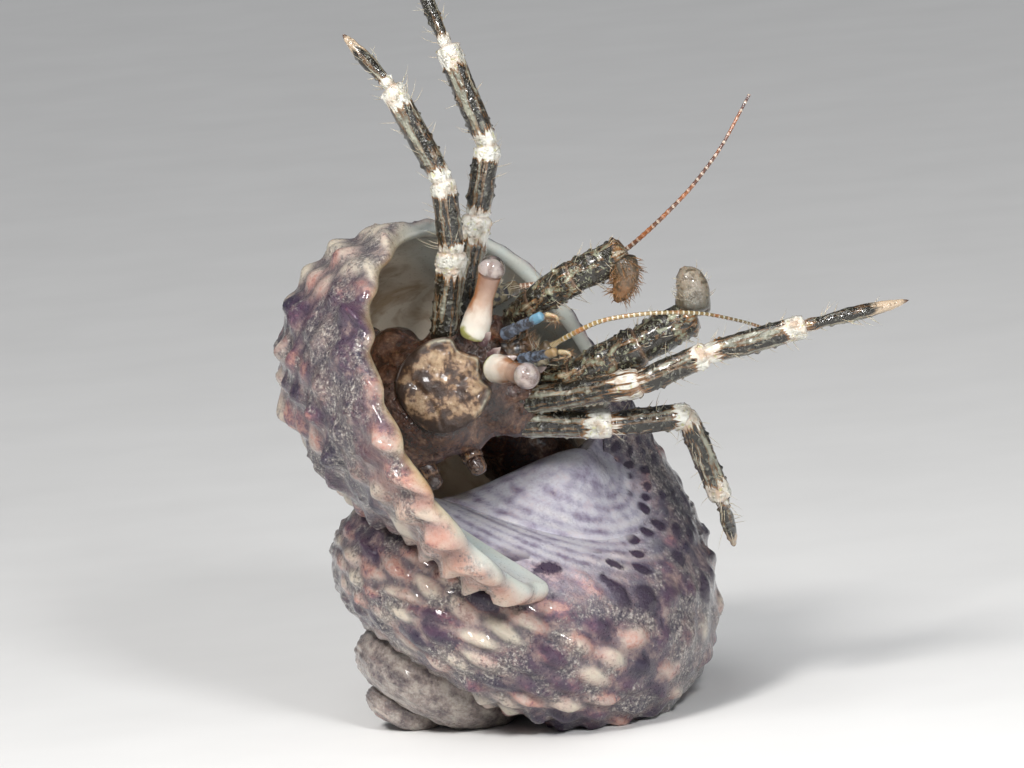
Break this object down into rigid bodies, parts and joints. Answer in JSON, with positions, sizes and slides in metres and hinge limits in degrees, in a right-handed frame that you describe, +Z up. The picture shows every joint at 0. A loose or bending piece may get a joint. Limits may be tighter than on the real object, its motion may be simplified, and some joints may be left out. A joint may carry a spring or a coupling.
{
  "type": "hermit crab in a snail shell, still model",
  "caption": "Life-size still model of a small shore hermit crab leaning out of a worn, beaded turban shell, resting on the shell's side.",
  "frame": {"origin": "in the middle of the larger worn flat that the shell rests on, at floor level", "axes": "+Z up. -Y is the side the shell's mouth and the crab's back face, +X is the crab's right-hand side, where its long right leg reaches out; the shell's tip points down towards -X and +Y."},
  "size_m": [0.0127, 0.0115, 0.0155],
  "materials": {
    "shell_wall": "worn beaded shell, cream, coral and violet, smooth lilac-white at the mouth, wet gloss",
    "shield_plate": "mottled tan and dark brown plate, wet gloss",
    "soft_skin": "thin dark brown skin, wet",
    "leg_plate": "dark olive with pale stripes along it and off-white bands at the joints, wet gloss",
    "claw_plate": "dark olive-brown with small bumps, wet gloss",
    "claw_finger": "pale tan, wet gloss",
    "eyestalk_skin": "ivory to pinkish tan with an orange-brown side stripe",
    "cornea": "clear glassy pinkish grey dome",
    "feeler": "golden olive with pale rings",
    "head_skin": "grey-blue, wet gloss"
  },
  "bodies": {
    "root": {"abdomen_front": "soft_skin", "abdomen_middle": "soft_skin", "abdomen_rear": "soft_skin", "abdomen_tip": "soft_skin", "carapace_rear": "soft_skin", "left_antenna": "feeler", "left_antenna_base": "head_skin", "left_antennule": "head_skin", "left_claw_carpus": "claw_plate", "left_claw_finger": "claw_finger", "left_claw_merus": "claw_plate", "left_claw_palm": "claw_plate", "left_cornea": "cornea", "left_eyestalk": "eyestalk_skin", "left_leg_2_carpus": "leg_plate", "left_leg_2_dactyl": "leg_plate", "left_leg_2_merus": "leg_plate", "left_leg_2_propodus": "leg_plate", "left_leg_3_carpus": "leg_plate", "left_leg_3_dactyl": "leg_plate", "left_leg_3_merus": "leg_plate", "left_leg_3_propodus": "leg_plate", "left_leg_4": "leg_plate", "left_leg_5": "leg_plate", "left_mouth_leg": "head_skin", "right_antenna": "feeler", "right_antenna_base": "head_skin", "right_antennule": "head_skin", "right_claw_carpus": "claw_plate", "right_claw_finger": "claw_finger", "right_claw_merus": "claw_plate", "right_claw_palm": "claw_plate", "right_cornea": "cornea", "right_eyestalk": "eyestalk_skin", "right_leg_2_carpus": "leg_plate", "right_leg_2_dactyl": "leg_plate", "right_leg_2_merus": "leg_plate", "right_leg_2_propodus": "leg_plate", "right_leg_3_carpus": "leg_plate", "right_leg_3_dactyl": "leg_plate", "right_leg_3_merus": "leg_plate", "right_leg_3_propodus": "leg_plate", "right_leg_4": "leg_plate", "right_leg_5": "leg_plate", "right_mouth_leg": "head_skin", "shell": "shell_wall", "shield": "shield_plate", "tail_fan": "shield_plate", "thorax": "soft_skin"}
  },
  "joints": []
}
